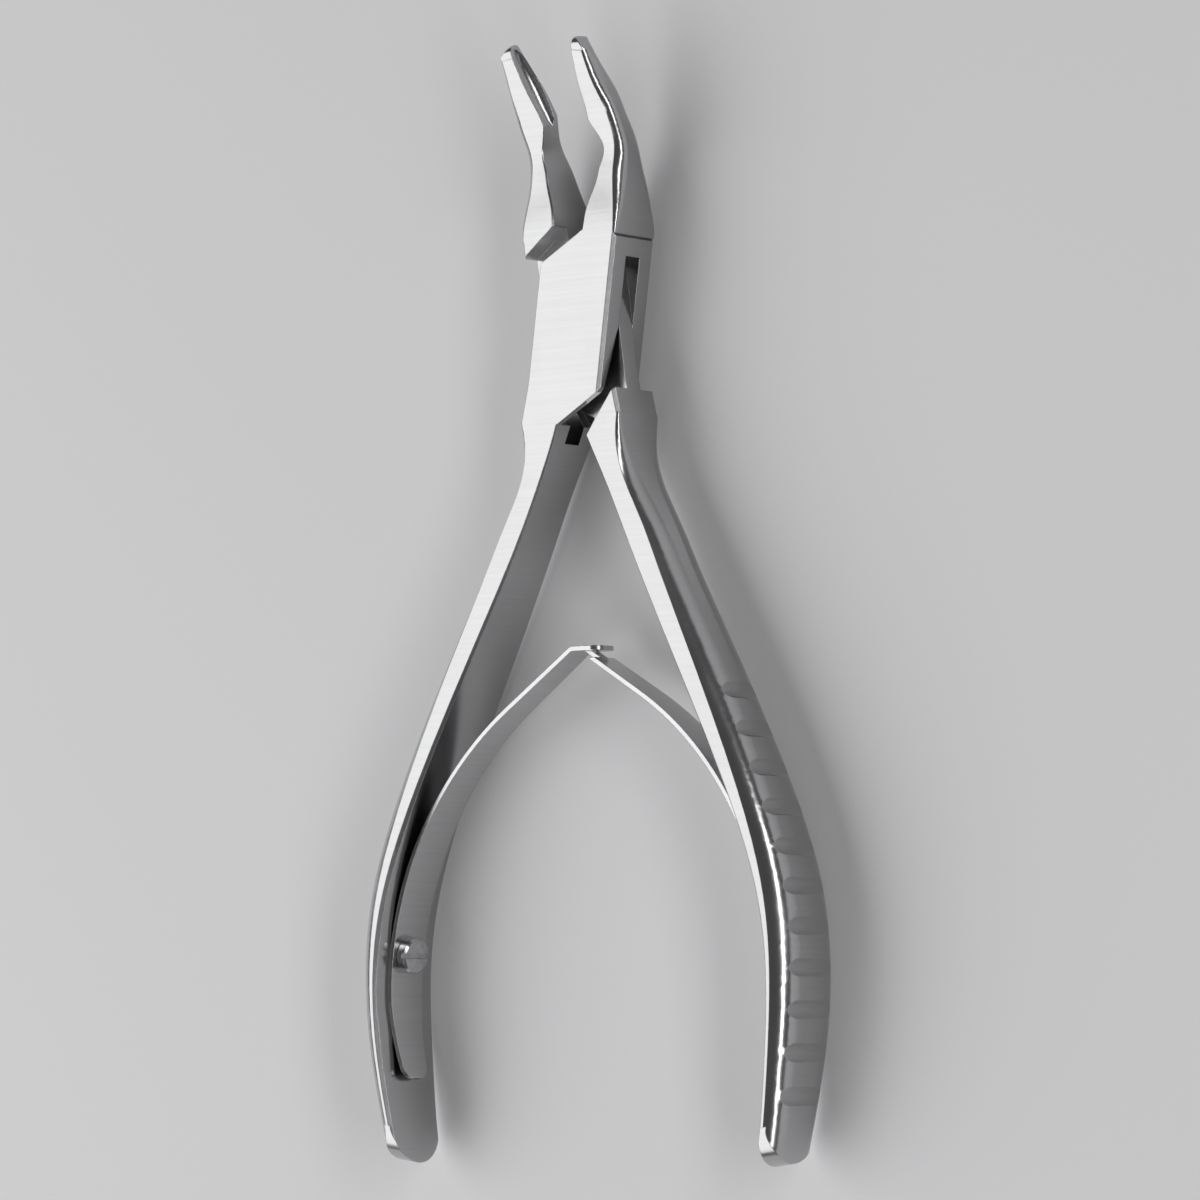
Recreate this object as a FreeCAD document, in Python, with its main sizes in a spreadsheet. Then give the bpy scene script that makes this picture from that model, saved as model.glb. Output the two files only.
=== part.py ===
import FreeCAD, Part
import math
import os
import Sketcher

# Bone rongeur with a box lock, two bowed handles and a pair of leaf springs.
# Sizes in millimetres, angles in degrees. Row frame: Z along the hinge, Y towards the tips.
# Each half is drawn closed about the hinge and turned open by its placement.

SIZES = {
    # Opening of each half away from the closed pose
    "half_open": 8.0,
    # Box lock
    "box_half_wide": 6.5,
    "box_half_thick": 4.4,
    "box_long": 13.4,
    "box_corner": 8.2,
    "box_bevel": 0.45,
    "root_half_wide": 7.0,
    "web_thick": 2.9,
    "web_corner": 8.0,
    "web_inner": 12.6,
    "web_root": 0.4,
    "slot_gap": 0.04,
    "slot_jaw_outer": 1.2,
    "slot_jaw_inner": 1.2,
    "slot_grip_outer": 2.8,
    "slot_grip_inner": 2.6,
    "slot_reach": 17.2,
    "slot_grip_edge": 0.9,
    "relief_wide": 7.4,
    "relief_deep": 2.0,
    "jaw_step_outer": 3.0,
    "jaw_step_inner": 1.3,
    "grip_step_outer": 1.6,
    "grip_step_inner": 2.4,
    "pin_radius": 1.8,
    "pin_gap": 0.03,
    # Handles: length below the box, bow away from the axis, rounded end
    "handle_long": 104.35,
    "handle_gap": 0.3,
    "handle_spread": 21.5,
    "handle_nose": 5.0,
    # Jaws: length above the box, lift and tilt towards the front, rounded tip, cup
    "jaw_long": 25.96,
    "jaw_rise": 9.95,
    "jaw_tilt": 33.0,
    "jaw_nose": 1.3,
    "jaw_tip_round": 3.06,
    "jaw_tip_shift": 0.3,
    "jaw_tip_rise": 0.08,
    "jaw_gap": 0.04,
    "jaw_face_start": 24.0,
    "cup_rim": 0.6,
    "cup_heel": 2.4,
    "cup_half_wide": 1.6,
    "cup_deep": 1.5,
    # Grip grooves on the outer face of each handle
    "grip_radius": 2.0,
    "grip_deep": 0.42,
    "grip_last": 8.15,
    "grip_pitch": 5.62,
    # Leaf springs
    "leaf_thick": 0.62,
    "leaf_gap": 0.03,
    "leaf_bow_left": 49.2,
    "leaf_bow_right": 48.5,
    "leaf_turn_left": 47.0,
    "leaf_turn_right": 51.0,
    "leaf_cross_left": 4.13,
    "leaf_cross_right": 6.95,
    "leaf_tail_bow": 38.0,
    "leaf_tail_turn": 26.5,
    "leaf_wide": 6.6,
    "leaf_top_wide": 4.4,
    "leaf_tail_wide": 4.6,
    "leaf_taper_top": 44.3,
    "leaf_taper_low": 13.3,
    "leaf_tail_start": 6.7,
    "leaf_tail_end": 17.7,
    "leaf_tip_round": 1.9,
    "lip_long": 4.6,
    "lip_bend": 1.0,
    "lip_round": 1.6,
    "tongue_half_wide": 0.75,
    "tongue_start": 44.1,
    "window_half_wide": 1.05,
    "window_from": 0.72,
    "window_long": 2.45,
    "bed_up": 11.0,
    "bed_down": 16.0,
    # Screws that hold the leaves
    "screw_head_radius": 2.6,
    "screw_head_high": 1.5,
    "screw_lift": 0.1,
    "screw_bevel": 0.3,
    "screw_slot_wide": 0.8,
    "screw_slot_deep": 0.7,
    "screw_shank_radius": 1.35,
    "screw_long": 3.1,
    "screw_play": 0.05,
    "screw_hole_spare": 0.3,
}
# Handle sections: shares of length and of bow for the inner and outer face, then depth,
# back lean, corner across, corner down and inner edge in millimetres
HANDLE = [
    (0.0000, 0.0000, 0.0000, 8.8, 0.0, 0.45, 0.45, 0.15),
    (0.0307, 0.0395, -0.0256, 8.4, -0.3, 0.65, 1.0, 0.15),
    (0.0671, 0.0930, -0.0163, 8.0, -0.5, 0.85, 2.0, 0.2),
    (0.1207, 0.1721, 0.0721, 7.9, -0.5, 1.15, 2.9, 0.25),
    (0.2242, 0.3372, 0.2605, 8.8, -0.3, 1.6, 3.6, 0.3),
    (0.3565, 0.5698, 0.4953, 10.2, -0.1, 2.1, 3.8, 0.35),
    (0.4897, 0.7953, 0.7023, 11.2, 0.0, 2.4, 3.5, 0.4),
    (0.6095, 0.9535, 0.8395, 11.9, 0.0, 2.6, 3.4, 0.45),
    (0.7274, 1.0000, 0.8628, 12.3, 0.0, 2.6, 3.45, 0.5),
    (0.8414, 0.9186, 0.7628, 12.0, 0.0, 2.4, 3.2, 0.5),
    (0.9353, 0.7953, 0.6233, 10.6, 0.0, 2.15, 2.8, 0.45),
    (1.0062, 0.6791, 0.5000, 9.8, 0.0, 2.0, 2.6, 0.4),
]
HANDLE_KEYS = ("along", "inner", "outer", "deep", "lean", "across", "down", "edge")
# Jaw sections: shares of length, rise and tilt, then inner face, taper of the outer face, depth,
# back lean, corner across, corner down and inner edge in millimetres
JAW = [
    (0.0000, 0.0000, 0.000, 0.55, 0.0, 8.8, 0.0, 0.45, 0.45, 0.2),
    (0.0732, 0.0000, 0.000, 0.6, 0.08, 8.6, 0.0, 0.6, 0.7, 0.2),
    (0.1618, 0.0000, 0.000, 0.8, 0.35, 7.9, 0.0, 0.9, 1.1, 0.2),
    (0.2851, 0.0050, 0.091, 1.45, 0.95, 6.9, 0.0, 1.15, 1.6, 0.2),
    (0.4102, 0.0503, 0.394, 1.85, 1.3, 5.5, 0.2, 1.2, 1.6, 0.15),
    (0.5085, 0.1307, 0.697, 1.7, 1.5, 4.5, 0.3, 1.15, 1.4, 0.12),
    (0.5855, 0.2513, 0.879, 0.5, 1.7, 4.0, 0.35, 1.05, 1.3, 0.1),
    (0.6510, 0.3518, 1.000, -0.3, 1.95, 3.8, 0.4, 1.0, 1.2, 0.1),
    (0.7666, 0.5477, 1.000, -0.3, 2.75, 3.8, 0.45, 0.85, 1.25, 0.1),
    (0.8821, 0.7588, 1.000, -0.3, 3.65, 3.1, 0.45, 0.7, 1.15, 0.1),
    (0.9560, 0.8860, 1.000, -0.3, 4.1, 2.55, 0.42, 0.6, 1.0, 0.1),
    (1.0247, 1.0000, 1.000, -0.3, 4.6, 2.0, 0.4, 0.5, 0.9, 0.1),
]
JAW_KEYS = ("along", "rise", "tilt", "inner", "taper", "deep", "lean", "across", "down", "edge")
# Section that the straight part of the jaw starts from, and section that the leaf is seated on
MARK = 7
SEATED = 8
GRIPS = 11

doc = FreeCAD.newDocument("rongeur")
sheet = doc.addObject("Spreadsheet::Sheet", "sizes")
cells = []


def size(name, number):
    cells.append(name)
    sheet.set("A%d" % len(cells), name)
    sheet.set("B%d" % len(cells), repr(float(number)))
    sheet.setAlias("B%d" % len(cells), name)


for name, number in SIZES.items():
    size(name, number)
for kind, keys, table in (("handle", HANDLE_KEYS, HANDLE), ("jaw", JAW_KEYS, JAW)):
    for i, row in enumerate(table):
        for key, number in zip(keys, row):
            size("%s_%s_%02d" % (kind, key, i), number)
doc.recompute()


def val(name):
    number = 1.0
    for factor in name.split(" * "):
        number *= float(sheet.get(factor))
    return number


def ref(name):
    return " * ".join("sizes." + factor for factor in name.split(" * "))


def lin(*terms):
    # Weighted sum of sizes, products of sizes or earlier sums: its value and its expression
    number, texts = 0.0, []
    for weight, term in zip(terms[::2], terms[1::2]):
        worth, text = term if isinstance(term, tuple) else (val(term), ref(term))
        number += weight * worth
        texts.append("%g * (%s)" % (weight, text))
    return number, " + ".join(texts)


def plain(number):
    return number, "%g" % number


def origin_plane(body, role):
    return [o for o in body.Origin.OriginFeatures if o.Role == role][0]


def new_body(label):
    body = doc.addObject("PartDesign::Body", label)
    body.Label = label
    return body


def new_sketch(body, name, role, x=None, y=None, z=None, axis=None, angle=None):
    sketch = body.newObject("Sketcher::SketchObject", name)
    sketch.AttachmentSupport = [(origin_plane(body, role), "")]
    sketch.MapMode = "FlatFace"
    for part, text in (("x", x), ("y", y), ("z", z)):
        if text:
            sketch.setExpression("AttachmentOffset.Base." + part, text)
    if axis:
        turn = FreeCAD.Rotation(FreeCAD.Vector(*axis), 10)
        sketch.AttachmentOffset = FreeCAD.Placement(FreeCAD.Vector(0, 0, 0), turn)
        sketch.setExpression("AttachmentOffset.Rotation.Angle", angle)
    return sketch


def fix(sketch, kind, place, number, text, tag):
    spot = sketch.addConstraint(Sketcher.Constraint(kind, *place, number))
    sketch.renameConstraint(spot, tag)
    sketch.setExpression("Constraints." + tag, text)


def join(sketch, first, first_end, second, second_end):
    sketch.addConstraint(Sketcher.Constraint("Coincident", first, first_end, second, second_end))


def pin_point(sketch, geo, pos, pair, tag):
    for way, (number, text) in zip("XY", pair):
        fix(sketch, "Distance" + way, (geo, pos), number, text, tag + way.lower())


def corner(pair):
    return FreeCAD.Vector(pair[0][0], pair[1][0], 0)


def polygon(sketch, pairs):
    base, count = sketch.GeometryCount, len(pairs)
    ends = [corner(p) for p in pairs]
    lines = [Part.LineSegment(ends[i], ends[(i + 1) % count]) for i in range(count)]
    sketch.addGeometry(lines, False)
    for i in range(count):
        join(sketch, base + i, 2, base + (i + 1) % count, 1)
    for i, pair in enumerate(pairs):
        pin_point(sketch, base + i, 1, pair, "p%d" % (base + i))


def arc_between(centre, radius, first, last):
    # Shorter arc between two points, with the end number that each point has on it
    a = math.atan2(first.y - centre.y, first.x - centre.x)
    b = math.atan2(last.y - centre.y, last.x - centre.x)
    turn = (b - a) % (2 * math.pi)
    circle = Part.Circle(centre, FreeCAD.Vector(0, 0, 1), radius)
    if turn < math.pi:
        return Part.ArcOfCircle(circle, a, a + turn), 1, 2
    return Part.ArcOfCircle(circle, b, b + 2 * math.pi - turn), 2, 1


def circle_mark(sketch, pair, radius, text):
    geo = sketch.addGeometry(Part.Circle(corner(pair), FreeCAD.Vector(0, 0, 1), radius), False)
    pin_point(sketch, geo, 3, pair, "c%d" % geo)
    fix(sketch, "Radius", (geo,), radius, text, "r%d" % geo)


def rounded_section(sketch, kind, i, side, inner, outer):
    # Flat inner face, flat front and back strips, broad outer corners and a flat outer panel
    def named(key):
        return "%s_%s_%02d" % (kind, key, i)

    deep, lean, edge = named("deep"), named("lean"), named("edge")
    across, down = named("across"), named("down")
    back = lin(1, outer, -1, lean)
    flat = lin(side, inner), lin(side, inner, side, edge)
    xs = {1: flat + (lin(side, outer, -side, across), lin(side, outer)),
          -1: flat + (lin(side, back, -side, across), lin(side, back))}
    pairs = []
    for k, sign in ((0, -1), (0, 1), (1, 1), (2, 1), (3, 1), (3, -1), (2, -1), (1, -1)):
        lower = {0: edge, 1: None, 2: None, 3: down}[k]
        if lower:
            pairs.append((xs[sign][k], lin(0.5 * sign, deep, -sign, lower)))
        else:
            pairs.append((xs[sign][k], lin(0.5 * sign, deep)))
    ends = [corner(p) for p in pairs]
    for line in range(4):
        sketch.addGeometry(Part.LineSegment(ends[2 * line], ends[2 * line + 1]), False)
        pin_point(sketch, line, 1, pairs[2 * line], "a%d" % line)
        pin_point(sketch, line, 2, pairs[2 * line + 1], "b%d" % line)
    for a, b in ((1, 2), (7, 0)):
        geo = sketch.addGeometry(Part.LineSegment(ends[a], ends[b]), False)
        join(sketch, a // 2, 1 + a % 2, geo, 1)
        join(sketch, b // 2, 1 + b % 2, geo, 2)
    radius = (val(across) ** 2 + val(down) ** 2) / (2 * val(across))
    text = "(%s^2 + %s^2) / (2 * %s)" % (ref(across), ref(down), ref(across))
    for first, last, sign in ((3, 4, 1), (5, 6, -1)):
        height = sign * (0.5 * val(deep) - val(down))
        centre = FreeCAD.Vector(xs[sign][3][0] - side * radius, height, 0)
        arc, pos_first, pos_last = arc_between(centre, radius, ends[first], ends[last])
        geo = sketch.addGeometry(arc, False)
        join(sketch, first // 2, 1 + first % 2, geo, pos_first)
        join(sketch, last // 2, 1 + last % 2, geo, pos_last)
        fix(sketch, "Radius", (geo,), radius, text, "r%d" % first)


def loft(body, name, sketches):
    feature = body.newObject("PartDesign::AdditiveLoft", name)
    feature.Profile = sketches[0]
    feature.Sections = sketches[1:]
    feature.Ruled = False
    feature.Refine = False
    return feature


def pad(body, name, sketch, text):
    feature = body.newObject("PartDesign::Pad", name)
    feature.Profile = sketch
    feature.Midplane = True
    feature.Refine = False
    feature.setExpression("Length", text)
    return feature


def pocket(body, name, sketch, text=None, reverse=False):
    # Cut of a length about the sketch's plane, or right through to one side of it
    feature = body.newObject("PartDesign::Pocket", name)
    feature.Profile = sketch
    feature.Refine = False
    if text:
        feature.Midplane = True
        feature.setExpression("Length", text)
    else:
        feature.Type = "ThroughAll"
        feature.Reversed = reverse
    return feature


def bore(body, name, role, pair, radius, length=None, z=None, reverse=False):
    sketch = new_sketch(body, name + "_mark", role, z=z)
    circle_mark(sketch, pair, radius[0], radius[1])
    hole = body.newObject("PartDesign::Pocket", name)
    hole.Profile = sketch
    hole.Refine = False
    hole.Reversed = reverse
    if length:
        hole.setExpression("Length", length)
    else:
        hole.Type = "ThroughAll"
        hole.Midplane = True
    return hole


W, L, C = "box_half_wide", "box_long", "box_corner"
ROOT, GAP = "root_half_wide", "handle_gap"
CENTRE = plain(0.0), plain(0.0)
HANDLE_END = lin(1, L, 1, "handle_long")
MARK_ALONG = lin(1, L, 1, "jaw_long * jaw_along_%02d" % MARK)
MARK_RISE = lin(1, "jaw_rise * jaw_rise_%02d" % MARK)
JAW_END = ((val(L) + val("jaw_long") - MARK_ALONG[0]) / math.cos(math.radians(val("jaw_tilt"))),
           "(sizes.box_long + sizes.jaw_long - (%s)) / cos(sizes.jaw_tilt)" % MARK_ALONG[1])
SEAT = lin(1, L, 1, "handle_long * handle_along_%02d" % SEATED)
SEAT_IN = lin(1, GAP, 1, "handle_spread * handle_inner_%02d" % SEATED)
LEAF_MID = lin(1, SEAT_IN, -1, "leaf_gap", -0.5, "leaf_thick")
HEAD_SEAT = lin(1, SEAT_IN, -1, "leaf_gap", -1, "leaf_thick", -1, "screw_lift")
SCREW_SPOT = lin(-1, SEAT), plain(0.0)
SHANK_HOLE = lin(1, "screw_shank_radius", 1, "screw_play")


def handle(body, side):
    sketches = []
    for i in range(len(HANDLE)):
        place = lin(1, L, 1, "handle_long * handle_along_%02d" % i)[1]
        sketch = new_sketch(body, "%s_handle_%02d" % (body.Label, i), "XZ_Plane", z=place)
        inner = lin(1, GAP, 1, "handle_spread * handle_inner_%02d" % i)
        outer = lin(1, ROOT, 1, "handle_spread * handle_outer_%02d" % i)
        rounded_section(sketch, "handle", i, side, inner, outer)
        sketches.append(sketch)
    return loft(body, body.Label + "_handle", sketches)


def jaw(body, side):
    sketches = []
    for i in range(len(JAW)):
        name = "%s_jaw_%02d" % (body.Label, i)
        place = lin(-1, L, -1, "jaw_long * jaw_along_%02d" % i)[1]
        rise = ref("jaw_rise * jaw_rise_%02d" % i)
        tilt = ref("jaw_tilt * jaw_tilt_%02d" % i)
        sketch = new_sketch(body, name, "XZ_Plane", y=rise, z=place, axis=(1, 0, 0), angle=tilt)
        outer = lin(1, W, -1, "jaw_taper_%02d" % i)
        rounded_section(sketch, "jaw", i, side, lin(1, "jaw_inner_%02d" % i), outer)
        sketches.append(sketch)
    return loft(body, body.Label + "_jaw", sketches)


def nose(sketch, end, radius, deep):
    # Frame with a round-nosed opening: what lies outside the nose is cut away
    spare = 6.0
    across = lin(1, end, -1, radius)
    away = end[0] + spare, "%s + %g" % (end[1], spare)
    points = [(across, lin(1, radius)), (across, plain(deep)), (away, plain(deep)),
              (away, plain(-deep)), (across, plain(-deep)), (across, lin(-1, radius))]
    ends = [corner(p) for p in points]
    for a, b in zip(ends, ends[1:]):
        sketch.addGeometry(Part.LineSegment(a, b), False)
    circle = Part.Circle(FreeCAD.Vector(across[0], 0, 0), FreeCAD.Vector(0, 0, 1), val(radius))
    arc = sketch.addGeometry(Part.ArcOfCircle(circle, -math.pi / 2, math.pi / 2), False)
    for k in range(4):
        join(sketch, k, 2, k + 1, 1)
    join(sketch, arc, 2, 0, 1)
    join(sketch, arc, 1, 4, 2)
    pin_point(sketch, 0, 1, points[0], "a")
    for k in range(5):
        pin_point(sketch, k, 2, points[k + 1], "b%d" % k)
    fix(sketch, "DistanceX", (arc, 3), across[0], across[1], "r")


def tip_round(body, side):
    # The outer face of the jaw curves over to the biting face at the tip
    name = body.Label + "_tip_curve"
    sketch = new_sketch(body, name, "XY_Plane", y=MARK_ALONG[1], z=MARK_RISE[1], axis=(1, 0, 0),
                        angle="sizes.jaw_tilt")
    spare, wide = 6.0, 8.0
    low = lin(1, JAW_END, 1, "jaw_tip_rise", -1, "jaw_tip_round")
    top = lin(1, JAW_END, 1, "jaw_tip_rise")
    face = lin(side, "jaw_gap", -side, "jaw_tip_shift")
    start = lin(side, "jaw_gap", -side, "jaw_tip_shift", side, "jaw_tip_round")
    high = JAW_END[0] + spare, "%s + %g" % (JAW_END[1], spare)
    points = [(start, low), (plain(side * wide), low), (plain(side * wide), high),
              (plain(-side), high), (plain(-side), top), (face, top)]
    ends = [corner(p) for p in points]
    for a, b in zip(ends, ends[1:]):
        sketch.addGeometry(Part.LineSegment(a, b), False)
    centre = FreeCAD.Vector(face[0], low[0], 0)
    arc, first, last = arc_between(centre, val("jaw_tip_round"), ends[0], ends[5])
    geo = sketch.addGeometry(arc, False)
    for k in range(4):
        join(sketch, k, 2, k + 1, 1)
    join(sketch, geo, first, 0, 1)
    join(sketch, geo, last, 4, 2)
    pin_point(sketch, 0, 1, points[0], "a")
    for k in range(5):
        pin_point(sketch, k, 2, points[k + 1], "b%d" % k)
    fix(sketch, "Radius", (geo,), val("jaw_tip_round"), "sizes.jaw_tip_round", "r")
    return pocket(body, name + "_cut", sketch, "30")


def bevel_long_edges(body, feature):
    doc.recompute()
    wide, thick = val(W), val("box_half_thick")
    names = []
    for k, edge in enumerate(feature.Shape.Edges):
        ends = [v.Point for v in edge.Vertexes]
        if all(abs(p.x) > wide - 1e-3 and abs(abs(p.z) - thick) < 1e-4 for p in ends):
            names.append("Edge%d" % (k + 1))
    chamfer = body.newObject("PartDesign::Chamfer", body.Label + "_bevel")
    chamfer.Base = (feature, names)
    chamfer.Refine = False
    chamfer.setExpression("Size", "sizes.box_bevel")
    return chamfer


def cup(body):
    hollow = body.newObject("PartDesign::SubtractiveEllipsoid", body.Label + "_cup")
    hollow.Refine = False
    hollow.AttachmentSupport = [(origin_plane(body, "XY_Plane"), "")]
    hollow.MapMode = "FlatFace"
    half_long = lin(0.5, JAW_END, -0.5, "cup_rim", 0.5, "cup_heel")
    middle = lin(0.5, JAW_END, -0.5, "cup_rim", -0.5, "cup_heel")[1]
    hollow.setExpression("Radius1", "sizes.cup_half_wide")
    hollow.setExpression("Radius2", "sizes.cup_deep")
    hollow.setExpression("Radius3", half_long[1])
    hollow.Angle1 = -90
    hollow.Angle2 = 90
    hollow.Angle3 = 360
    turn = FreeCAD.Rotation(FreeCAD.Vector(1, 0, 0), 10)
    hollow.AttachmentOffset = FreeCAD.Placement(FreeCAD.Vector(0, 0, 0), turn)
    along = "%s + (%s) * cos(sizes.jaw_tilt)" % (MARK_ALONG[1], middle)
    rise = "%s + (%s) * sin(sizes.jaw_tilt)" % (MARK_RISE[1], middle)
    hollow.setExpression("AttachmentOffset.Base.y", along)
    hollow.setExpression("AttachmentOffset.Base.z", rise)
    hollow.setExpression("AttachmentOffset.Rotation.Angle", "sizes.jaw_tilt")
    return hollow


def outer_face_x(shape, side, along):
    ray = Part.makeLine(FreeCAD.Vector(0, -along, 0), FreeCAD.Vector(side * 60, -along, 0))
    inside = shape.common(ray)
    return max(side * v.Point.x for v in inside.Vertexes)


def grips(body, side, solid):
    sketch = new_sketch(body, body.Label + "_grip_marks", "XY_Plane")
    rows = []
    for k in range(GRIPS):
        along = lin(1, HANDLE_END, -1, "grip_last", -k, "grip_pitch")
        name = "grip_face_%s_%02d" % ("left" if side < 0 else "right", k)
        size(name, round(outer_face_x(solid, side, along[0]), 4))
        rows.append((name, along))
    doc.recompute()
    for name, along in rows:
        middle = lin(side, name, side, "grip_radius", -side, "grip_deep")
        circle_mark(sketch, (middle, lin(-1, along)), val("grip_radius"), "sizes.grip_radius")
    return pocket(body, body.Label + "_grips", sketch, "30")


def leaf_bed(body, side):
    # Hollow in the inner face of the handle, a clearance wider than the leaf that lies in it
    sketch = new_sketch(body, body.Label + "_bed_mark", "XY_Plane")
    seat = lin(side, SEAT_IN), lin(-1, SEAT)
    inward = plain(side * 8.0)
    top, low = lin(-1, SEAT, 1, "bed_up"), lin(-1, SEAT, -1, "bed_down")
    arcs = []
    main = "leaf_bow_left" if side < 0 else "leaf_bow_right"
    for bow, level in ((main, top), ("leaf_tail_bow", low)):
        middle = lin(side, LEAF_MID, -side, bow), lin(-1, SEAT)
        radius = lin(1, bow, 0.5, "leaf_thick", 1, "leaf_gap")
        rise = level[0] - seat[1][0]
        far = math.sqrt(radius[0] ** 2 - rise ** 2)
        end = FreeCAD.Vector(middle[0][0] + side * far, level[0], 0)
        arc, at_seat, at_end = arc_between(corner(middle), radius[0], corner(seat), end)
        arcs.append((arc, at_seat, at_end, middle, radius, level, end))
    sketch.addGeometry([arcs[0][0], arcs[1][0]], False)
    sketch.addGeometry([Part.LineSegment(arcs[0][6], corner((inward, top))),
                        Part.LineSegment(corner((inward, top)), corner((inward, low))),
                        Part.LineSegment(corner((inward, low)), arcs[1][6])], False)
    join(sketch, 0, arcs[0][1], 1, arcs[1][1])
    join(sketch, 0, arcs[0][2], 2, 1)
    join(sketch, 2, 2, 3, 1)
    join(sketch, 3, 2, 4, 1)
    join(sketch, 4, 2, 1, arcs[1][2])
    pin_point(sketch, 0, 3, arcs[0][3], "mid")
    pin_point(sketch, 1, 3, arcs[1][3], "tail_mid")
    pin_point(sketch, 3, 1, (inward, top), "above")
    pin_point(sketch, 3, 2, (inward, low), "below")
    fix(sketch, "Radius", (0,), arcs[0][4][0], arcs[0][4][1], "bow")
    fix(sketch, "DistanceY", (0, arcs[0][1]), seat[1][0], seat[1][1], "seat")
    fix(sketch, "DistanceY", (0, arcs[0][2]), top[0], top[1], "top")
    fix(sketch, "DistanceY", (1, arcs[1][2]), low[0], low[1], "foot")
    return pocket(body, body.Label + "_bed", sketch, "30")


def finish_half(body, side, jaw_side):
    # Round the ends, face and hollow the jaw, cut the grips, the leaf's bed and the screw hole
    end_sketch = new_sketch(body, body.Label + "_end", "YZ_Plane", axis=(0, 0, 1), angle="180")
    nose(end_sketch, HANDLE_END, "handle_nose", 9.0)
    pocket(body, body.Label + "_round_end", end_sketch, "120")
    face = new_sketch(body, body.Label + "_face_mark", "XY_Plane")
    spare = plain(-3.0 * jaw_side)
    beyond = lin(1, L, 2, "jaw_long")
    polygon(face, [(spare, lin(1, "jaw_face_start")), (lin(jaw_side, "jaw_gap"), lin(1, "jaw_face_start")),
                   (lin(jaw_side, "jaw_gap"), beyond), (spare, beyond)])
    pocket(body, body.Label + "_face", face, "60")
    tip_round(body, jaw_side)
    tip_sketch = new_sketch(body, body.Label + "_tip", "YZ_Plane", x=MARK_ALONG[1],
                            y=MARK_RISE[1], axis=(0, 0, 1), angle="sizes.jaw_tilt")
    nose(tip_sketch, JAW_END, "jaw_nose", 4.0)
    pocket(body, body.Label + "_round_tip", tip_sketch, "30")
    cup(body)
    doc.recompute()
    grips(body, side, body.Shape)
    leaf_bed(body, side)
    start = 2.0
    deep = lin(1, "screw_long", -1, "leaf_thick", -1, "leaf_gap", -1, "screw_lift",
               1, "screw_hole_spare")[1]
    bore(body, body.Label + "_screw_hole", "YZ_Plane", SCREW_SPOT, SHANK_HOLE,
         "%s + %g" % (deep, start), "%d * (%s - %g)" % (side, SEAT_IN[1], start), side > 0)


# Half with the slotted box: right jaw, box and left handle
female = new_body("female_half")
sketch = new_sketch(female, "box_outline", "XY_Plane")
J0 = "jaw_inner_00"
polygon(sketch, [(lin(-1, ROOT), lin(-1, L)), (lin(-1, GAP), lin(-1, L)), (lin(1, W), lin(-1, C)),
                 (lin(1, W), lin(1, L)), (lin(1, J0), lin(1, L)), (lin(-1, W), lin(1, C)),
                 (lin(-1, W), lin(-1, C))])
box = pad(female, "box", sketch, "2 * sizes.box_half_thick")
bevel_long_edges(female, box)
handle(female, -1)
jaw(female, 1)
sketch = new_sketch(female, "slot_outline", "XY_Plane")
EDGE, REACH = "slot_grip_edge", lin(1, "slot_reach")
polygon(sketch, [(plain(8.0), lin(1, C, 1, "slot_jaw_outer")),
                 (lin(1, J0), lin(1, L, 1, "slot_jaw_inner")), (lin(1, J0), REACH),
                 (plain(-8.0), REACH), (plain(-8.0), lin(-1, C, -1, "slot_grip_outer")),
                 (lin(-1, EDGE), lin(-1, L, -1, "slot_grip_inner")),
                 (lin(-1, EDGE), lin(-1, REACH)), (plain(8.0), lin(-1, REACH))])
pocket(female, "slot", sketch, "sizes.web_thick + 2 * sizes.slot_gap")
slant = "atan2(sizes.box_long - sizes.box_corner; sizes.box_half_wide + sizes.handle_gap)"
sketch = new_sketch(female, "relief_mark", "YZ_Plane", x="-sizes.box_long", z="-sizes.handle_gap",
                    axis=(0, 1, 0), angle=slant)
for way in (1, -1):
    floor, past = lin(0.5 * way, "web_thick"), plain(-0.5)
    polygon(sketch, [(lin(1, "relief_wide"), floor), (past, floor),
                     (past, lin(0.5 * way, "web_thick", way, "relief_deep"))])
pocket(female, "relief", sketch, None, True)
bore(female, "pin_seat", "XY_Plane", CENTRE, lin(1, "pin_radius"))
finish_half(female, -1, 1)

# Half with the web: left jaw, web and right handle
male = new_body("male_half")
sketch = new_sketch(male, "web_outline", "XY_Plane")
polygon(sketch, [(lin(1, ROOT), lin(-1, L)), (lin(1, W), lin(-1, C)), (lin(1, W), lin(1, "web_corner")),
                 (lin(-1, "web_root"), lin(1, "web_inner")), (lin(-1, J0), lin(1, L)),
                 (lin(-1, W), lin(1, L)), (lin(-1, W), lin(-1, "web_corner")),
                 (lin(1, "web_root"), lin(-1, "web_inner")), (lin(1, GAP), lin(-1, L))])
pad(male, "web", sketch, "sizes.web_thick")
sketch = new_sketch(male, "jaw_root_outline", "XY_Plane")
polygon(sketch, [(lin(-1, W), lin(1, L)), (lin(-1, W), lin(1, C)), (lin(-1, J0), lin(1, C)),
                 (lin(-1, J0), lin(1, L))])
pad(male, "jaw_root", sketch, "2 * sizes.box_half_thick")
sketch = new_sketch(male, "grip_root_outline", "XY_Plane")
polygon(sketch, [(lin(1, ROOT), lin(-1, L)), (lin(1, W), lin(-1, C)), (lin(1, GAP), lin(-1, C)),
                 (lin(1, GAP), lin(-1, L))])
bevel_long_edges(male, pad(male, "grip_root", sketch, "2 * sizes.box_half_thick"))
handle(male, 1)
jaw(male, -1)
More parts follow.
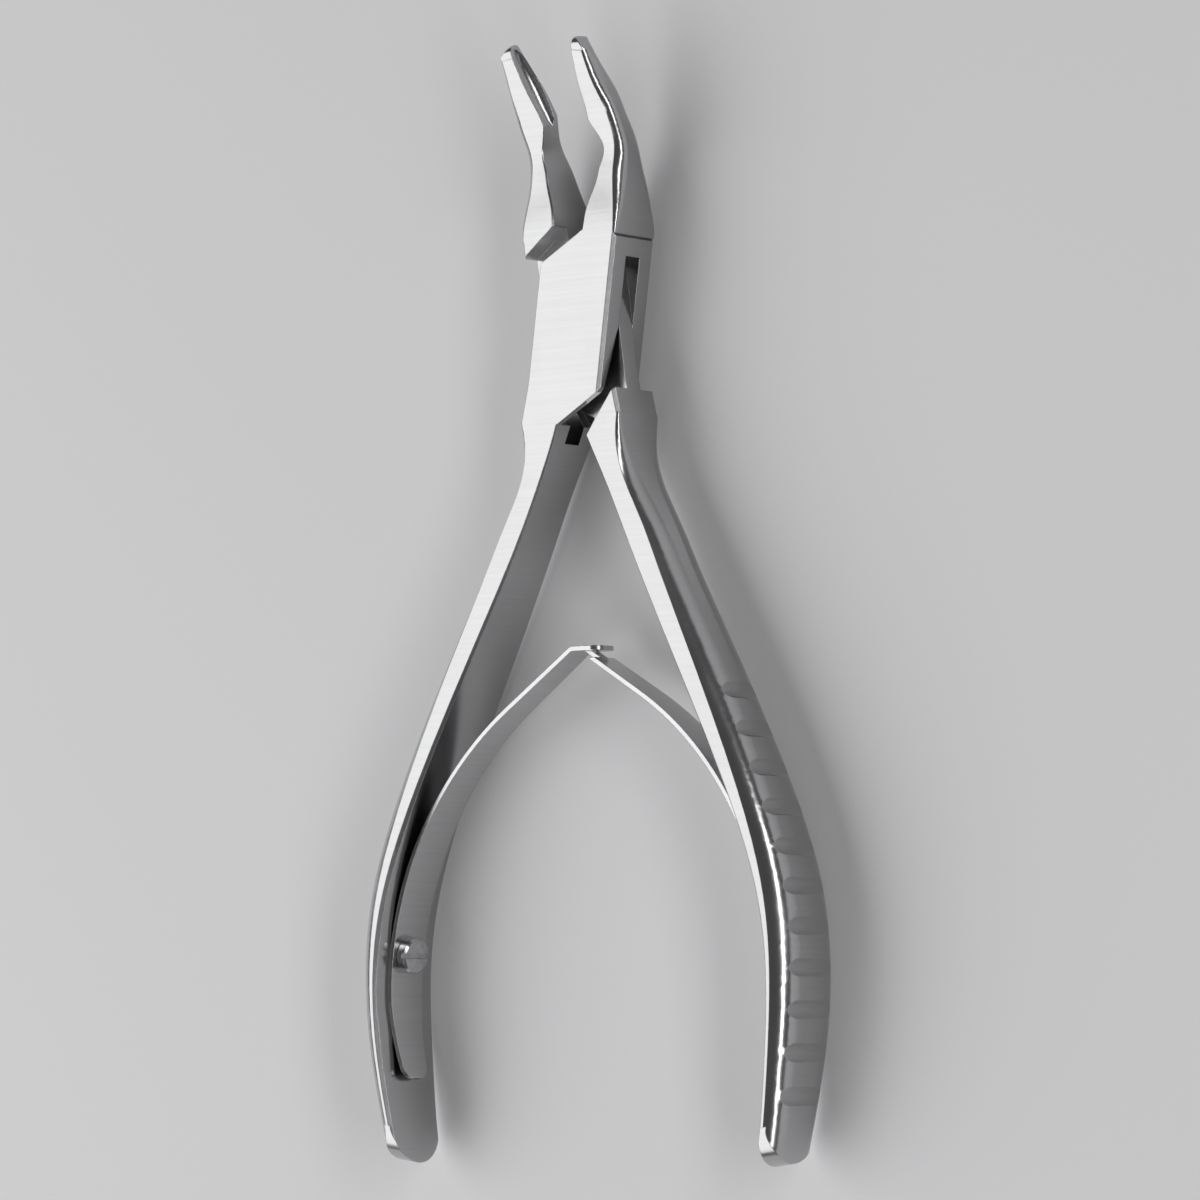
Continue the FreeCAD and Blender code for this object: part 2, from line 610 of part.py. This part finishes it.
for label, way in (("jaw_step", 1), ("grip_step", -1)):
    outer, inner = lin(way, C, way, label + "_outer"), lin(way, L, way, label + "_inner")
    for face in (1, -1):
        sketch = new_sketch(male, "%s_%s" % (label, "front" if face > 0 else "back"), "XY_Plane",
                            z="%g * sizes.web_thick" % (0.5 * face))
        near = plain(way * 5.0)
        polygon(sketch, [(lin(-way, W), outer), (lin(-way, "web_root"), inner),
                         (plain(way * 2.0), inner), (plain(way * 2.0), near),
                         (plain(-way * 9.0), near), (plain(-way * 9.0), outer)])
        pocket(male, sketch.Name + "_cut", sketch, None, face > 0)
bore(male, "pin_hole", "XY_Plane", CENTRE, lin(1, "pin_radius", 1, "pin_gap"))
finish_half(male, 1, -1)
doc.recompute()


def leaf_path(sketch, side, name, lip):
    # Tail arc, long bow and straight top, each tangent to the one before, and the lip's bend
    bow, tail = "leaf_bow_" + name, "leaf_tail_bow"
    turn, tail_turn = "leaf_turn_" + name, "leaf_tail_turn"
    sweep, tail_sweep = math.radians(val(turn)), math.radians(val(tail_turn))
    seat = lin(side, LEAF_MID), lin(-1, SEAT)
    middle = lin(side, LEAF_MID, -side, bow), seat[1]
    tail_middle = lin(side, LEAF_MID, -side, tail), seat[1]
    reach = (LEAF_MID[0] - val(bow) * (1 - math.cos(sweep)) + val("leaf_cross_" + name))
    reach = reach / math.sin(sweep)
    reach_text = ("(%s - %s * (1 - cos(%s)) + %s) / sin(%s)"
                  % (LEAF_MID[1], ref(bow), ref(turn), ref("leaf_cross_" + name), ref(turn)))
    up = FreeCAD.Vector(side * math.cos(sweep), math.sin(sweep), 0)
    down = FreeCAD.Vector(side * math.cos(tail_sweep), -math.sin(tail_sweep), 0)
    top = corner(middle) + up * val(bow)
    low = corner(tail_middle) + down * val(tail)
    end = top + FreeCAD.Vector(-side * math.sin(sweep), math.cos(sweep), 0) * reach
    lower, low_pos, seat_pos = arc_between(corner(tail_middle), val(tail), low, corner(seat))
    upper, seat_up, top_pos = arc_between(corner(middle), val(bow), corner(seat), top)
    sketch.addGeometry([lower, upper, Part.LineSegment(top, end)], False)
    join(sketch, 0, seat_pos, 1, seat_up)
    sketch.addConstraint(Sketcher.Constraint("Tangent", 1, top_pos, 2, 1))
    pin_point(sketch, 1, 3, middle, "m")
    pin_point(sketch, 0, 3, tail_middle, "t")
    fix(sketch, "Radius", (1,), val(bow), ref(bow), "bow")
    fix(sketch, "DistanceY", (0, seat_pos), seat[1][0], seat[1][1], "seat")
    fix(sketch, "DistanceY", (0, low_pos), low.y,
        "%s - %s * sin(%s)" % (seat[1][1], ref(tail), ref(tail_turn)), "low")
    fix(sketch, "DistanceY", (1, top_pos), top.y,
        "%s + %s * sin(%s)" % (seat[1][1], ref(bow), ref(turn)), "top")
    fix(sketch, "Distance", (2,), reach, reach_text, "flat")
    if lip:
        bend, start, finish = val("lip_bend"), math.pi / 2 - sweep, math.radians(val("half_open"))
        core = end + FreeCAD.Vector(math.sin(start), -math.cos(start), 0) * bend
        level = core + FreeCAD.Vector(-math.sin(finish), math.cos(finish), 0) * bend
        tip = level + FreeCAD.Vector(math.cos(finish), math.sin(finish), 0) * val("lip_long")
        arc, end_pos, level_pos = arc_between(core, bend, end, level)
        sketch.addGeometry([arc, Part.LineSegment(level, tip)], False)
        sketch.addConstraint(Sketcher.Constraint("Tangent", 2, 2, 3, end_pos))
        sketch.addConstraint(Sketcher.Constraint("Tangent", 3, level_pos, 4, 1))
        fix(sketch, "Radius", (3,), bend, "sizes.lip_bend", "bend")
        fix(sketch, "Distance", (4,), val("lip_long"), "sizes.lip_long", "lip")
        fix(sketch, "Angle", (4,), finish, "sizes.half_open", "level")


def leaf_outline(sketch, way, lip):
    # What lies outside the tapered outline of the leaf, seen square to its broad face
    top, wide, tail = "leaf_top_wide", "leaf_wide", "leaf_tail_wide"
    above, below, spare = lin(-1, SEAT, 1, "leaf_taper_top", 1, "leaf_taper_low"), plain(-150.0), 9.0
    taper = lin(-1, SEAT, 1, "leaf_taper_top")
    pairs = [(above, lin(0.5 * way, top)), (taper, lin(0.5 * way, top))]
    if not lip:
        neck = lin(-1, SEAT, 1, "tongue_start")
        pairs = [(above, lin(way, "tongue_half_wide")), (neck, lin(way, "tongue_half_wide")),
                 (neck, lin(0.5 * way, top))]
    pairs += [(lin(-1, SEAT, 1, "leaf_taper_low"), lin(0.5 * way, wide)),
              (lin(-1, SEAT, -1, "leaf_tail_start"), lin(0.5 * way, wide)),
              (lin(-1, SEAT, -1, "leaf_tail_end"), lin(0.5 * way, tail)),
              (below, lin(0.5 * way, tail)), (below, plain(way * spare)), (above, plain(way * spare))]
    polygon(sketch, pairs)


def leaf(side, name, lip):
    body = new_body(name + "_spring")
    path = new_sketch(body, name + "_leaf_path", "XY_Plane")
    leaf_path(path, side, name, lip)
    x = "%d * (%s - sizes.leaf_tail_bow * (1 - cos(sizes.leaf_tail_turn)))" % (side, LEAF_MID[1])
    z = "%s + sizes.leaf_tail_bow * sin(sizes.leaf_tail_turn)" % SEAT[1]
    profile = new_sketch(body, name + "_leaf_section", "XZ_Plane", x=x, z=z, axis=(0, 1, 0),
                         angle="%d * sizes.leaf_tail_turn" % -side)
    half = lin(0.5, "leaf_thick"), lin(-0.5, "leaf_thick")
    high = lin(0.5, "leaf_wide"), lin(-0.5, "leaf_wide")
    polygon(profile, [(half[0], high[0]), (half[1], high[0]), (half[1], high[1]), (half[0], high[1])])
    strip = body.newObject("PartDesign::AdditivePipe", name + "_leaf")
    strip.Profile = profile
    strip.Spine = (path, [])
    strip.Refine = False
    outline = new_sketch(body, name + "_leaf_outline", "YZ_Plane")
    for way in (1, -1):
        leaf_outline(outline, way, lip)
    pocket(body, name + "_leaf_taper", outline, "120")
    bore(body, name + "_leaf_hole", "YZ_Plane", SCREW_SPOT, SHANK_HOLE)
    if lip:
        window = new_sketch(body, "left_window", "XZ_Plane")
        across = lin(1, "window_half_wide"), lin(-1, "window_half_wide")
        near = lin(1, "leaf_cross_left", 1, "window_from")
        far = lin(1, "leaf_cross_left", 1, "window_from", 1, "window_long")
        polygon(window, [(near, across[0]), (far, across[0]), (far, across[1]), (near, across[1])])
        pocket(body, "left_window_cut", window, "240")
    doc.recompute()
    return body


def round_corners(body, name, close_to, radius):
    solid = body.Tip
    names = []
    for k, edge in enumerate(solid.Shape.Edges):
        flat = abs(edge.Vertexes[0].Point.z - edge.Vertexes[-1].Point.z) < 0.1
        short = abs(edge.Length - val("leaf_thick")) < 0.02
        rim = abs(edge.CenterOfMass.z) > 0.3 * val("leaf_wide")
        if flat and short and rim and (edge.CenterOfMass - close_to).Length < 0.45 * val("leaf_wide"):
            names.append("Edge%d" % (k + 1))
    rounds = body.newObject("PartDesign::Fillet", name)
    rounds.Base = (solid, names)
    rounds.Refine = False
    rounds.setExpression("Radius", "sizes." + radius)
    return rounds


def screw(side, name):
    body = new_body(name + "_screw")
    under = lin(side, HEAD_SEAT)[1]
    for label, radius, length, away in (("head", "screw_head_radius", "screw_head_high", side > 0),
                                        ("shank", "screw_shank_radius", "screw_long", side < 0)):
        mark = new_sketch(body, "%s_screw_%s_mark" % (name, label), "YZ_Plane", z=under)
        circle_mark(mark, SCREW_SPOT, val(radius), ref(radius))
        stem = body.newObject("PartDesign::Pad", "%s_screw_%s" % (name, label))
        stem.Profile = mark
        stem.Refine = False
        stem.Reversed = away
        stem.setExpression("Length", ref(length))
    doc.recompute()
    top = lin(side, HEAD_SEAT, -side, "screw_head_high")
    rim = [k for k, e in enumerate(stem.Shape.Edges)
           if abs(e.CenterOfMass.x - top[0]) < 1e-4 and len(e.Vertexes) == 1]
    bevel = body.newObject("PartDesign::Chamfer", name + "_screw_bevel")
    bevel.Base = (stem, ["Edge%d" % (k + 1) for k in rim])
    bevel.Refine = False
    bevel.setExpression("Size", "sizes.screw_bevel")
    slot = new_sketch(body, name + "_screw_slot_mark", "YZ_Plane", z=top[1])
    across = lin(1.5, "screw_head_radius"), lin(-1.5, "screw_head_radius")
    low = lin(-1, SEAT, -0.5, "screw_slot_wide")
    high = lin(-1, SEAT, 0.5, "screw_slot_wide")
    polygon(slot, [(low, across[1]), (high, across[1]), (high, across[0]), (low, across[0])])
    cut = body.newObject("PartDesign::Pocket", name + "_screw_slot")
    cut.Profile = slot
    cut.Refine = False
    cut.Reversed = side > 0
    cut.setExpression("Length", "sizes.screw_slot_deep")
    return body


left_spring = leaf(-1, "left", True)
right_spring = leaf(1, "right", False)
for body, name in ((left_spring, "left"), (right_spring, "right")):
    foot = min([v.Point for v in body.Shape.Vertexes], key=lambda p: p.y)
    round_corners(body, name + "_tail_round", FreeCAD.Vector(foot.x, foot.y, 0), "leaf_tip_round")
doc.recompute()
tip = max([v.Point for v in left_spring.Shape.Vertexes], key=lambda p: p.x)
round_corners(left_spring, "left_lip_round", FreeCAD.Vector(tip.x, tip.y, 0), "lip_round")
left_screw = screw(-1, "left")
right_screw = screw(1, "right")
pin = new_body("pivot_pin")
mark = new_sketch(pin, "pin_mark", "XY_Plane")
circle_mark(mark, CENTRE, val("pin_radius"), "sizes.pin_radius")
pad(pin, "pin", mark, "2 * sizes.box_half_thick")
doc.recompute()

parts = [(female, -1), (male, 1), (pin, -1), (left_spring, -1), (right_spring, 1),
         (left_screw, -1), (right_screw, 1)]
for body, way in parts:
    turn = FreeCAD.Rotation(FreeCAD.Vector(0, 0, 1), 10 * way)
    body.Placement = FreeCAD.Placement(FreeCAD.Vector(0, 0, 0), turn)
    body.setExpression("Placement.Base.z", "sizes.box_half_thick")
    body.setExpression("Placement.Rotation.Angle", "%d * sizes.half_open" % way)
doc.recompute()

for item in doc.Objects:
    if "Invalid" in item.State or "Error" in item.State:
        raise RuntimeError(item.Label + " did not build")
os.makedirs("parts", exist_ok=True)
for body, way in parts:
    if body.Shape.isNull() or not body.Shape.isValid() or len(body.Shape.Solids) != 1:
        raise RuntimeError(body.Label + " is not one sound solid")
    body.Shape.exportStep("parts/%s.step" % body.Label)
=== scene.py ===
import math

import bmesh
import bpy
from mathutils import Matrix, Vector


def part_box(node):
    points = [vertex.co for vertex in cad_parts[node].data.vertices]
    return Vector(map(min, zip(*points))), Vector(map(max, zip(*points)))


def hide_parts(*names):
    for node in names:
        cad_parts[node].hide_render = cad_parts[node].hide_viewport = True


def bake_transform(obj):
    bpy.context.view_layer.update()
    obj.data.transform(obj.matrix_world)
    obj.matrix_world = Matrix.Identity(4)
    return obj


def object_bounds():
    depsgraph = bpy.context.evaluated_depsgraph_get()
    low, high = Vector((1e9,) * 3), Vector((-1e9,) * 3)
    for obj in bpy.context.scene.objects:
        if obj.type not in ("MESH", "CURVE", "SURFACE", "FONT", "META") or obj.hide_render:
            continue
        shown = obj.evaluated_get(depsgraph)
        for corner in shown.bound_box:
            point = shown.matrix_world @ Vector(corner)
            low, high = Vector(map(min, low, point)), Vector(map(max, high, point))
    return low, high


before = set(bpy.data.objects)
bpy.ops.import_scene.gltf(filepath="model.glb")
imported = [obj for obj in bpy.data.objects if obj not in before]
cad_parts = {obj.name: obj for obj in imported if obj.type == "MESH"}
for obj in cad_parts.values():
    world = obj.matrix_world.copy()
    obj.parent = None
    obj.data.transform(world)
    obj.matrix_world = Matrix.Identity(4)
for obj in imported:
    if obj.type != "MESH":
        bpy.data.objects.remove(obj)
cad_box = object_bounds()
scene = bpy.context.scene
scene.view_settings.view_transform = "Standard"

# Places and sizes in metres, in the row's frame
MIDDLE_HEIGHT = 0.0044
SCREW_SPOT = {"left": (-0.0339, -0.0857, MIDDLE_HEIGHT),
              "right": (0.0339, -0.0857, MIDDLE_HEIGHT)}
HALF_OPEN = math.radians(8.0)
SCREW_TURN = {"left": (0.0, 0.0, -HALF_OPEN), "right": (0.0, 0.0, HALF_OPEN)}
PIN_RADIUS = 0.0018
PIN_MARGIN = 0.0008
JAW_ROOT = 0.0134
ROOT_BAND = 0.0005

# How the leaves are cut into slices across their length
LEAF_SLICES = 40
WELD_DISTANCE = 1e-6
LEAF_CREASE = math.radians(28.0)

# What the finishes share: the range of the marks, their depth, and the painted highlight on
# the edges
MARK_LOW, MARK_HIGH = 0.3, 0.7
MARK_DEPTH = 0.00002
# A lighter steel colour painted along the edges as a painted highlight, and how much of it is
# mixed in
EDGE_HIGHLIGHT_STEEL = (0.66, 0.66, 0.67, 1.0)
EDGE_HIGHLIGHT_SHARE = 0.7
EDGE_SAMPLES = 6

# Grinding lines per metre on each axis: close across the piece, long along it
FINE_LINES = (70.0, 6500.0, 70.0)
BROAD_LINES = (45.0, 2300.0, 45.0)
FINE_SHARE, BROAD_SHARE = 0.45, 0.55
LINE_DETAIL, LINE_ROUGHNESS = 2.0, 0.55
GROUND_CLOUDS = (130.0, 80.0, 130.0)
TURNED_CLOUDS = (900.0, 900.0, 900.0)
RING_HEIGHT = 0.12

# Floor, lamps and camera
FLOOR_REACH = 3.0
FLOOR_COLOUR = (0.88, 0.88, 0.89, 1.0)
FLOOR_ROUGHNESS = 0.85
ROOM_COLOUR = (0.5, 0.5, 0.51, 1.0)
ROOM_STRENGTH = 0.2
LAMP_AIM = Vector((0.0, -0.04, 0.005))
SOFTBOXES = (  # name, place, length, height, power
    ("left_softbox", (-0.72, -0.33, 0.66), 1.9, 1.1, 10.8),
    ("right_softbox", (0.86, 0.0, 0.5), 1.2, 0.2, 3.4))
EYE = Vector((0.5119, -0.0971, 0.6255))
TOWARD = Vector((-0.6330, 0.0741, -0.7706)).normalized()
LEVEL_RIGHT = Vector((0.7727, 0.0, -0.6347)).normalized()
ROLL = math.radians(-0.35)
PHOTO_WIDTH = 1200.0
FOCAL_PIXELS = 5878.0
SENSOR_WIDTH = 36.0


# Small helpers for node trees
def new_group(name, inputs, outputs):
    group = bpy.data.node_groups.new(name, "ShaderNodeTree")
    for label, kind, start in inputs:
        socket = group.interface.new_socket(name=label, in_out="INPUT", socket_type=kind)
        if start is not None:
            socket.default_value = start
    for label, kind in outputs:
        group.interface.new_socket(name=label, in_out="OUTPUT", socket_type=kind)
    return group, group.nodes.new("NodeGroupInput"), group.nodes.new("NodeGroupOutput")


def place(tree, kind, **settings):
    made = tree.nodes.new(kind)
    for key, value in settings.items():
        setattr(made, key, value)
    return made


def feed(tree, socket, value):
    if isinstance(value, bpy.types.NodeSocket):
        tree.links.new(value, socket)
    else:
        socket.default_value = value


def maths(tree, operation, a, b=0.0, c=0.0):
    made = place(tree, "ShaderNodeMath", operation=operation)
    for slot, value in enumerate((a, b, c)):
        feed(tree, made.inputs[slot], value)
    return made.outputs[0]


def distance(tree, a, b):
    # Length of a line from its two legs
    squares = maths(tree, "ADD", maths(tree, "MULTIPLY", a, a), maths(tree, "MULTIPLY", b, b))
    return maths(tree, "SQRT", squares)


def noise(tree, vector, stretch, detail, rough):
    squeeze = place(tree, "ShaderNodeMapping", vector_type="POINT")
    squeeze.inputs["Scale"].default_value = stretch
    tree.links.new(vector, squeeze.inputs["Vector"])
    grain = place(tree, "ShaderNodeTexNoise", noise_dimensions="3D")
    grain.inputs["Scale"].default_value = 1.0
    grain.inputs["Detail"].default_value = detail
    grain.inputs["Roughness"].default_value = rough
    tree.links.new(squeeze.outputs["Vector"], grain.inputs["Vector"])
    return grain.outputs["Fac"]


def spread(tree, value, to_low, to_high):
    # The marks' own range, stretched to a new one
    made = place(tree, "ShaderNodeMapRange")
    for label, number in (("Value", value), ("From Min", MARK_LOW), ("From Max", MARK_HIGH),
                          ("To Min", to_low), ("To Max", to_high)):
        feed(tree, made.inputs[label], number)
    return made.outputs["Result"]


# Patterns and masks that the finishes share
def satin_grinding():
    # Fine and broad grinding lines across the piece, and faint polishing clouds
    group, entry, leave = new_group(
        "satin_grinding",
        [("Vector", "NodeSocketVector", None), ("Line strength", "NodeSocketFloat", 1.0)],
        [("Lines", "NodeSocketFloat"), ("Clouds", "NodeSocketFloat")])
    vector = entry.outputs["Vector"]
    fine = noise(group, vector, FINE_LINES, LINE_DETAIL, LINE_ROUGHNESS)
    broad = noise(group, vector, BROAD_LINES, LINE_DETAIL, LINE_ROUGHNESS)
    mixed = maths(group, "ADD", maths(group, "MULTIPLY", fine, FINE_SHARE),
                  maths(group, "MULTIPLY", broad, BROAD_SHARE))
    strong = maths(group, "MULTIPLY", maths(group, "SUBTRACT", mixed, 0.5),
                   entry.outputs["Line strength"])
    group.links.new(maths(group, "ADD", strong, 0.5), leave.inputs["Lines"])
    clouds = noise(group, vector, GROUND_CLOUDS, 3.0, LINE_ROUGHNESS)
    group.links.new(clouds, leave.inputs["Clouds"])
    return group


def turned_rings():
    # Rings of a lathe about the X axis of the vector that comes in
    group, entry, leave = new_group(
        "turned_rings",
        [("Vector", "NodeSocketVector", None), ("Pitch", "NodeSocketFloat", 0.0002)],
        [("Lines", "NodeSocketFloat"), ("Clouds", "NodeSocketFloat")])
    split = place(group, "ShaderNodeSeparateXYZ")
    group.links.new(entry.outputs["Vector"], split.inputs[0])
    reach = distance(group, split.outputs["Y"], split.outputs["Z"])
    phase = maths(group, "DIVIDE", reach, entry.outputs["Pitch"])
    wave = maths(group, "SINE", maths(group, "MULTIPLY", phase, 2.0 * math.pi))
    clouds = noise(group, entry.outputs["Vector"], TURNED_CLOUDS, 2.0, 0.5)
    rings = maths(group, "MULTIPLY_ADD", wave, RING_HEIGHT, clouds)
    group.links.new(rings, leave.inputs["Lines"])
    group.links.new(clouds, leave.inputs["Clouds"])
    return group


def edge_highlight_mask():
    # How far the softened normal leans from the face's own, as a mask of the edges where a
    # highlight is painted
    group, entry, leave = new_group(
        "edge_highlight_mask",
        [("Soft normal", "NodeSocketVector", None), ("Normal", "NodeSocketVector", None),
         ("Width", "NodeSocketFloat", 0.3)],
        [("Edge", "NodeSocketFloat")])
    lean = place(group, "ShaderNodeVectorMath", operation="DOT_PRODUCT")
    group.links.new(entry.outputs["Soft normal"], lean.inputs[0])
    group.links.new(entry.outputs["Normal"], lean.inputs[1])
    away = maths(group, "SUBTRACT", 1.0, lean.outputs["Value"])
    shown = maths(group, "DIVIDE", away, entry.outputs["Width"])
    group.links.new(maths(group, "MINIMUM", shown, 1.0), leave.inputs["Edge"])
    return group


GRINDING = satin_grinding()
RINGS = turned_rings()
EDGE_HIGHLIGHT_GROUP = edge_highlight_mask()


def keep_flush(tree, vector, soft, own):
    # No softened edge round the pin, ground flush with the plates, or at the jaws' roots
    split = place(tree, "ShaderNodeSeparateXYZ")
    tree.links.new(vector, split.inputs[0])
    reach = distance(tree, split.outputs["X"], split.outputs["Y"])
    plain = maths(tree, "MAXIMUM", maths(tree, "LESS_THAN", reach, PIN_RADIUS + PIN_MARGIN),
                  maths(tree, "COMPARE", split.outputs["Y"], JAW_ROOT, ROOT_BAND))
    chosen = place(tree, "ShaderNodeMix", data_type="VECTOR")
    tree.links.new(plain, chosen.inputs["Factor"])
    tree.links.new(soft, chosen.inputs[4])
    tree.links.new(own, chosen.inputs[5])
    return chosen.outputs[1]


def steel(name, bright, dull, rough, drift, relief, pattern, setting, edge,
          centre=None, turn=None, flush=False):
    # A steel finish: its tones, gloss and drift of gloss, its marks, its softened edges, and
    # a highlight painted along those edges
    material = bpy.data.materials.new(name)
    material.use_nodes = True
    tree = material.node_tree
    shader = tree.nodes["Principled BSDF"]
    shader.inputs["Metallic"].default_value = 1.0
    vector = place(tree, "ShaderNodeTexCoord").outputs["Object"]
    if centre:
        moved = place(tree, "ShaderNodeMapping", vector_type="TEXTURE")
        moved.inputs["Location"].default_value = centre
        moved.inputs["Rotation"].default_value = turn
        tree.links.new(vector, moved.inputs["Vector"])
        vector = moved.outputs["Vector"]
    marks = place(tree, "ShaderNodeGroup", node_tree=pattern)
    tree.links.new(vector, marks.inputs["Vector"])
    marks.inputs[1].default_value = setting

    softened = place(tree, "ShaderNodeBevel", samples=EDGE_SAMPLES)
    softened.inputs["Radius"].default_value = edge
    own = place(tree, "ShaderNodeNewGeometry").outputs["Normal"]
    soft = softened.outputs["Normal"]
    if flush:
        soft = keep_flush(tree, vector, soft, own)
    edge_highlight_node = place(tree, "ShaderNodeGroup", node_tree=EDGE_HIGHLIGHT_GROUP)
    tree.links.new(soft, edge_highlight_node.inputs["Soft normal"])
    tree.links.new(own, edge_highlight_node.inputs["Normal"])

    tone = place(tree, "ShaderNodeMix", data_type="RGBA")
    tone.inputs["A"].default_value = (*dull, 1.0)
    tone.inputs["B"].default_value = (*bright, 1.0)
    tree.links.new(spread(tree, marks.outputs["Lines"], 0.0, 1.0), tone.inputs["Factor"])
    # Painted highlight: the colour turns to a lighter steel along the edges, where the
    # softened normal leans away
    painted_highlight = place(tree, "ShaderNodeMix", data_type="RGBA")
    painted_highlight.inputs["B"].default_value = EDGE_HIGHLIGHT_STEEL
    tree.links.new(tone.outputs["Result"], painted_highlight.inputs["A"])
    highlight_share = maths(tree, "MULTIPLY", edge_highlight_node.outputs["Edge"], EDGE_HIGHLIGHT_SHARE)
    tree.links.new(highlight_share, painted_highlight.inputs["Factor"])
    tree.links.new(painted_highlight.outputs["Result"], shader.inputs["Base Color"])

    gloss = spread(tree, marks.outputs["Clouds"], rough - drift, rough + drift)
    tree.links.new(gloss, shader.inputs["Roughness"])
    bump = place(tree, "ShaderNodeBump")
    bump.inputs["Strength"].default_value = relief
    bump.inputs["Distance"].default_value = MARK_DEPTH
    tree.links.new(marks.outputs["Lines"], bump.inputs["Height"])
    tree.links.new(soft, bump.inputs["Normal"])
    tree.links.new(bump.outputs["Normal"], shader.inputs["Normal"])
    return material


def dress(piece, material):
    piece.data.materials.clear()
    piece.data.materials.append(material)


# Forged halves and pin
satin_steel = steel("satin_steel", bright=(0.52, 0.52, 0.525), dull=(0.44, 0.44, 0.445),
                    rough=0.20, drift=0.03, relief=0.08, pattern=GRINDING, setting=0.45,
                    edge=0.00016, flush=True)
for name in ("female_half", "male_half", "pivot_pin"):
    dress(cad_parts[name], satin_steel)

spring_steel = steel("spring_steel", bright=(0.57, 0.57, 0.575), dull=(0.49, 0.49, 0.495),
                     rough=0.22, drift=0.04, relief=0.12, pattern=GRINDING, setting=0.8,
                     edge=0.00014)


# Leaf springs from the handle to the tip, welded, sliced across their length and shaded
# smooth, in place of the CAD springs
def leaf_piece(side):
    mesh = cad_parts[side + "_spring"].data.copy()
    work = bmesh.new()
    work.from_mesh(mesh)
    bmesh.ops.remove_doubles(work, verts=work.verts, dist=WELD_DISTANCE)
    low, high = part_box(side + "_spring")
    for k in range(1, LEAF_SLICES):
        level = low[1] + (high[1] - low[1]) * k / LEAF_SLICES
        parts = work.verts[:] + work.edges[:] + work.faces[:]
        bmesh.ops.bisect_plane(work, geom=parts, plane_co=(0.0, level, 0.0),
                               plane_no=(0.0, 1.0, 0.0))
    work.to_mesh(mesh)
    work.free()
    piece = bpy.data.objects.new(side + "_leaf", mesh)
    scene.collection.objects.link(piece)
    mesh.shade_smooth()
    mesh.set_sharp_from_angle(angle=LEAF_CREASE)
    dress(piece, spring_steel)
    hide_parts(side + "_spring")
    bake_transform(piece)


for side in ("left", "right"):
    screw_steel = steel(side + "_screw_steel", bright=(0.6, 0.6, 0.61),
                        dull=(0.44, 0.44, 0.45), rough=0.22, drift=0.04, relief=0.2,
                        pattern=RINGS, setting=0.00019, edge=0.00006,
                        centre=SCREW_SPOT[side], turn=SCREW_TURN[side])
    dress(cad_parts[side + "_screw"], screw_steel)
    leaf_piece(side)


# Plain pale floor, level with the lowest point of the instrument
def pale_floor():
    mesh = bpy.data.meshes.new("pale_floor")
    level = cad_box[0][2]
    corners = [(x * FLOOR_REACH, y * FLOOR_REACH, level)
               for x, y in ((-1, -1), (1, -1), (1, 1), (-1, 1))]
    mesh.from_pydata(corners, [], [(0, 1, 2, 3)])
    plane = bpy.data.objects.new("pale_floor", mesh)
    scene.collection.objects.link(plane)
    material = bpy.data.materials.new("pale_floor")
    material.use_nodes = True
    shader = material.node_tree.nodes["Principled BSDF"]
    shader.inputs["Base Color"].default_value = FLOOR_COLOUR
    shader.inputs["Roughness"].default_value = FLOOR_ROUGHNESS
    mesh.materials.append(material)


pale_floor()


# Soft studio light
def softbox(name, spot, long, high, power):
    lamp = bpy.data.lights.new(name, "AREA")
    lamp.shape = "RECTANGLE"
    lamp.size = long
    lamp.size_y = high
    lamp.energy = power
    box = bpy.data.objects.new(name, lamp)
    scene.collection.objects.link(box)
    box.location = spot
    box.rotation_euler = (LAMP_AIM - Vector(spot)).to_track_quat("-Z", "Y").to_euler()


for settings in SOFTBOXES:
    softbox(*settings)
world = bpy.data.worlds.new("studio")
world.use_nodes = True
room = world.node_tree.nodes["Background"]
room.inputs["Color"].default_value = ROOM_COLOUR
room.inputs["Strength"].default_value = ROOM_STRENGTH
scene.world = world

# Camera at the photograph's angle
up = LEVEL_RIGHT.cross(TOWARD).normalized()
camera_right = LEVEL_RIGHT * math.cos(ROLL) + up * math.sin(ROLL)
camera_up = up * math.cos(ROLL) - LEVEL_RIGHT * math.sin(ROLL)
lens = bpy.data.cameras.new("camera")
lens.sensor_width = SENSOR_WIDTH
lens.lens = SENSOR_WIDTH * FOCAL_PIXELS / PHOTO_WIDTH
lens.clip_start = 0.01
camera = bpy.data.objects.new("camera", lens)
scene.collection.objects.link(camera)
facing = Matrix((camera_right, camera_up, -TOWARD)).transposed().to_4x4()
camera.matrix_world = Matrix.Translation(EYE) @ facing
scene.camera = camera
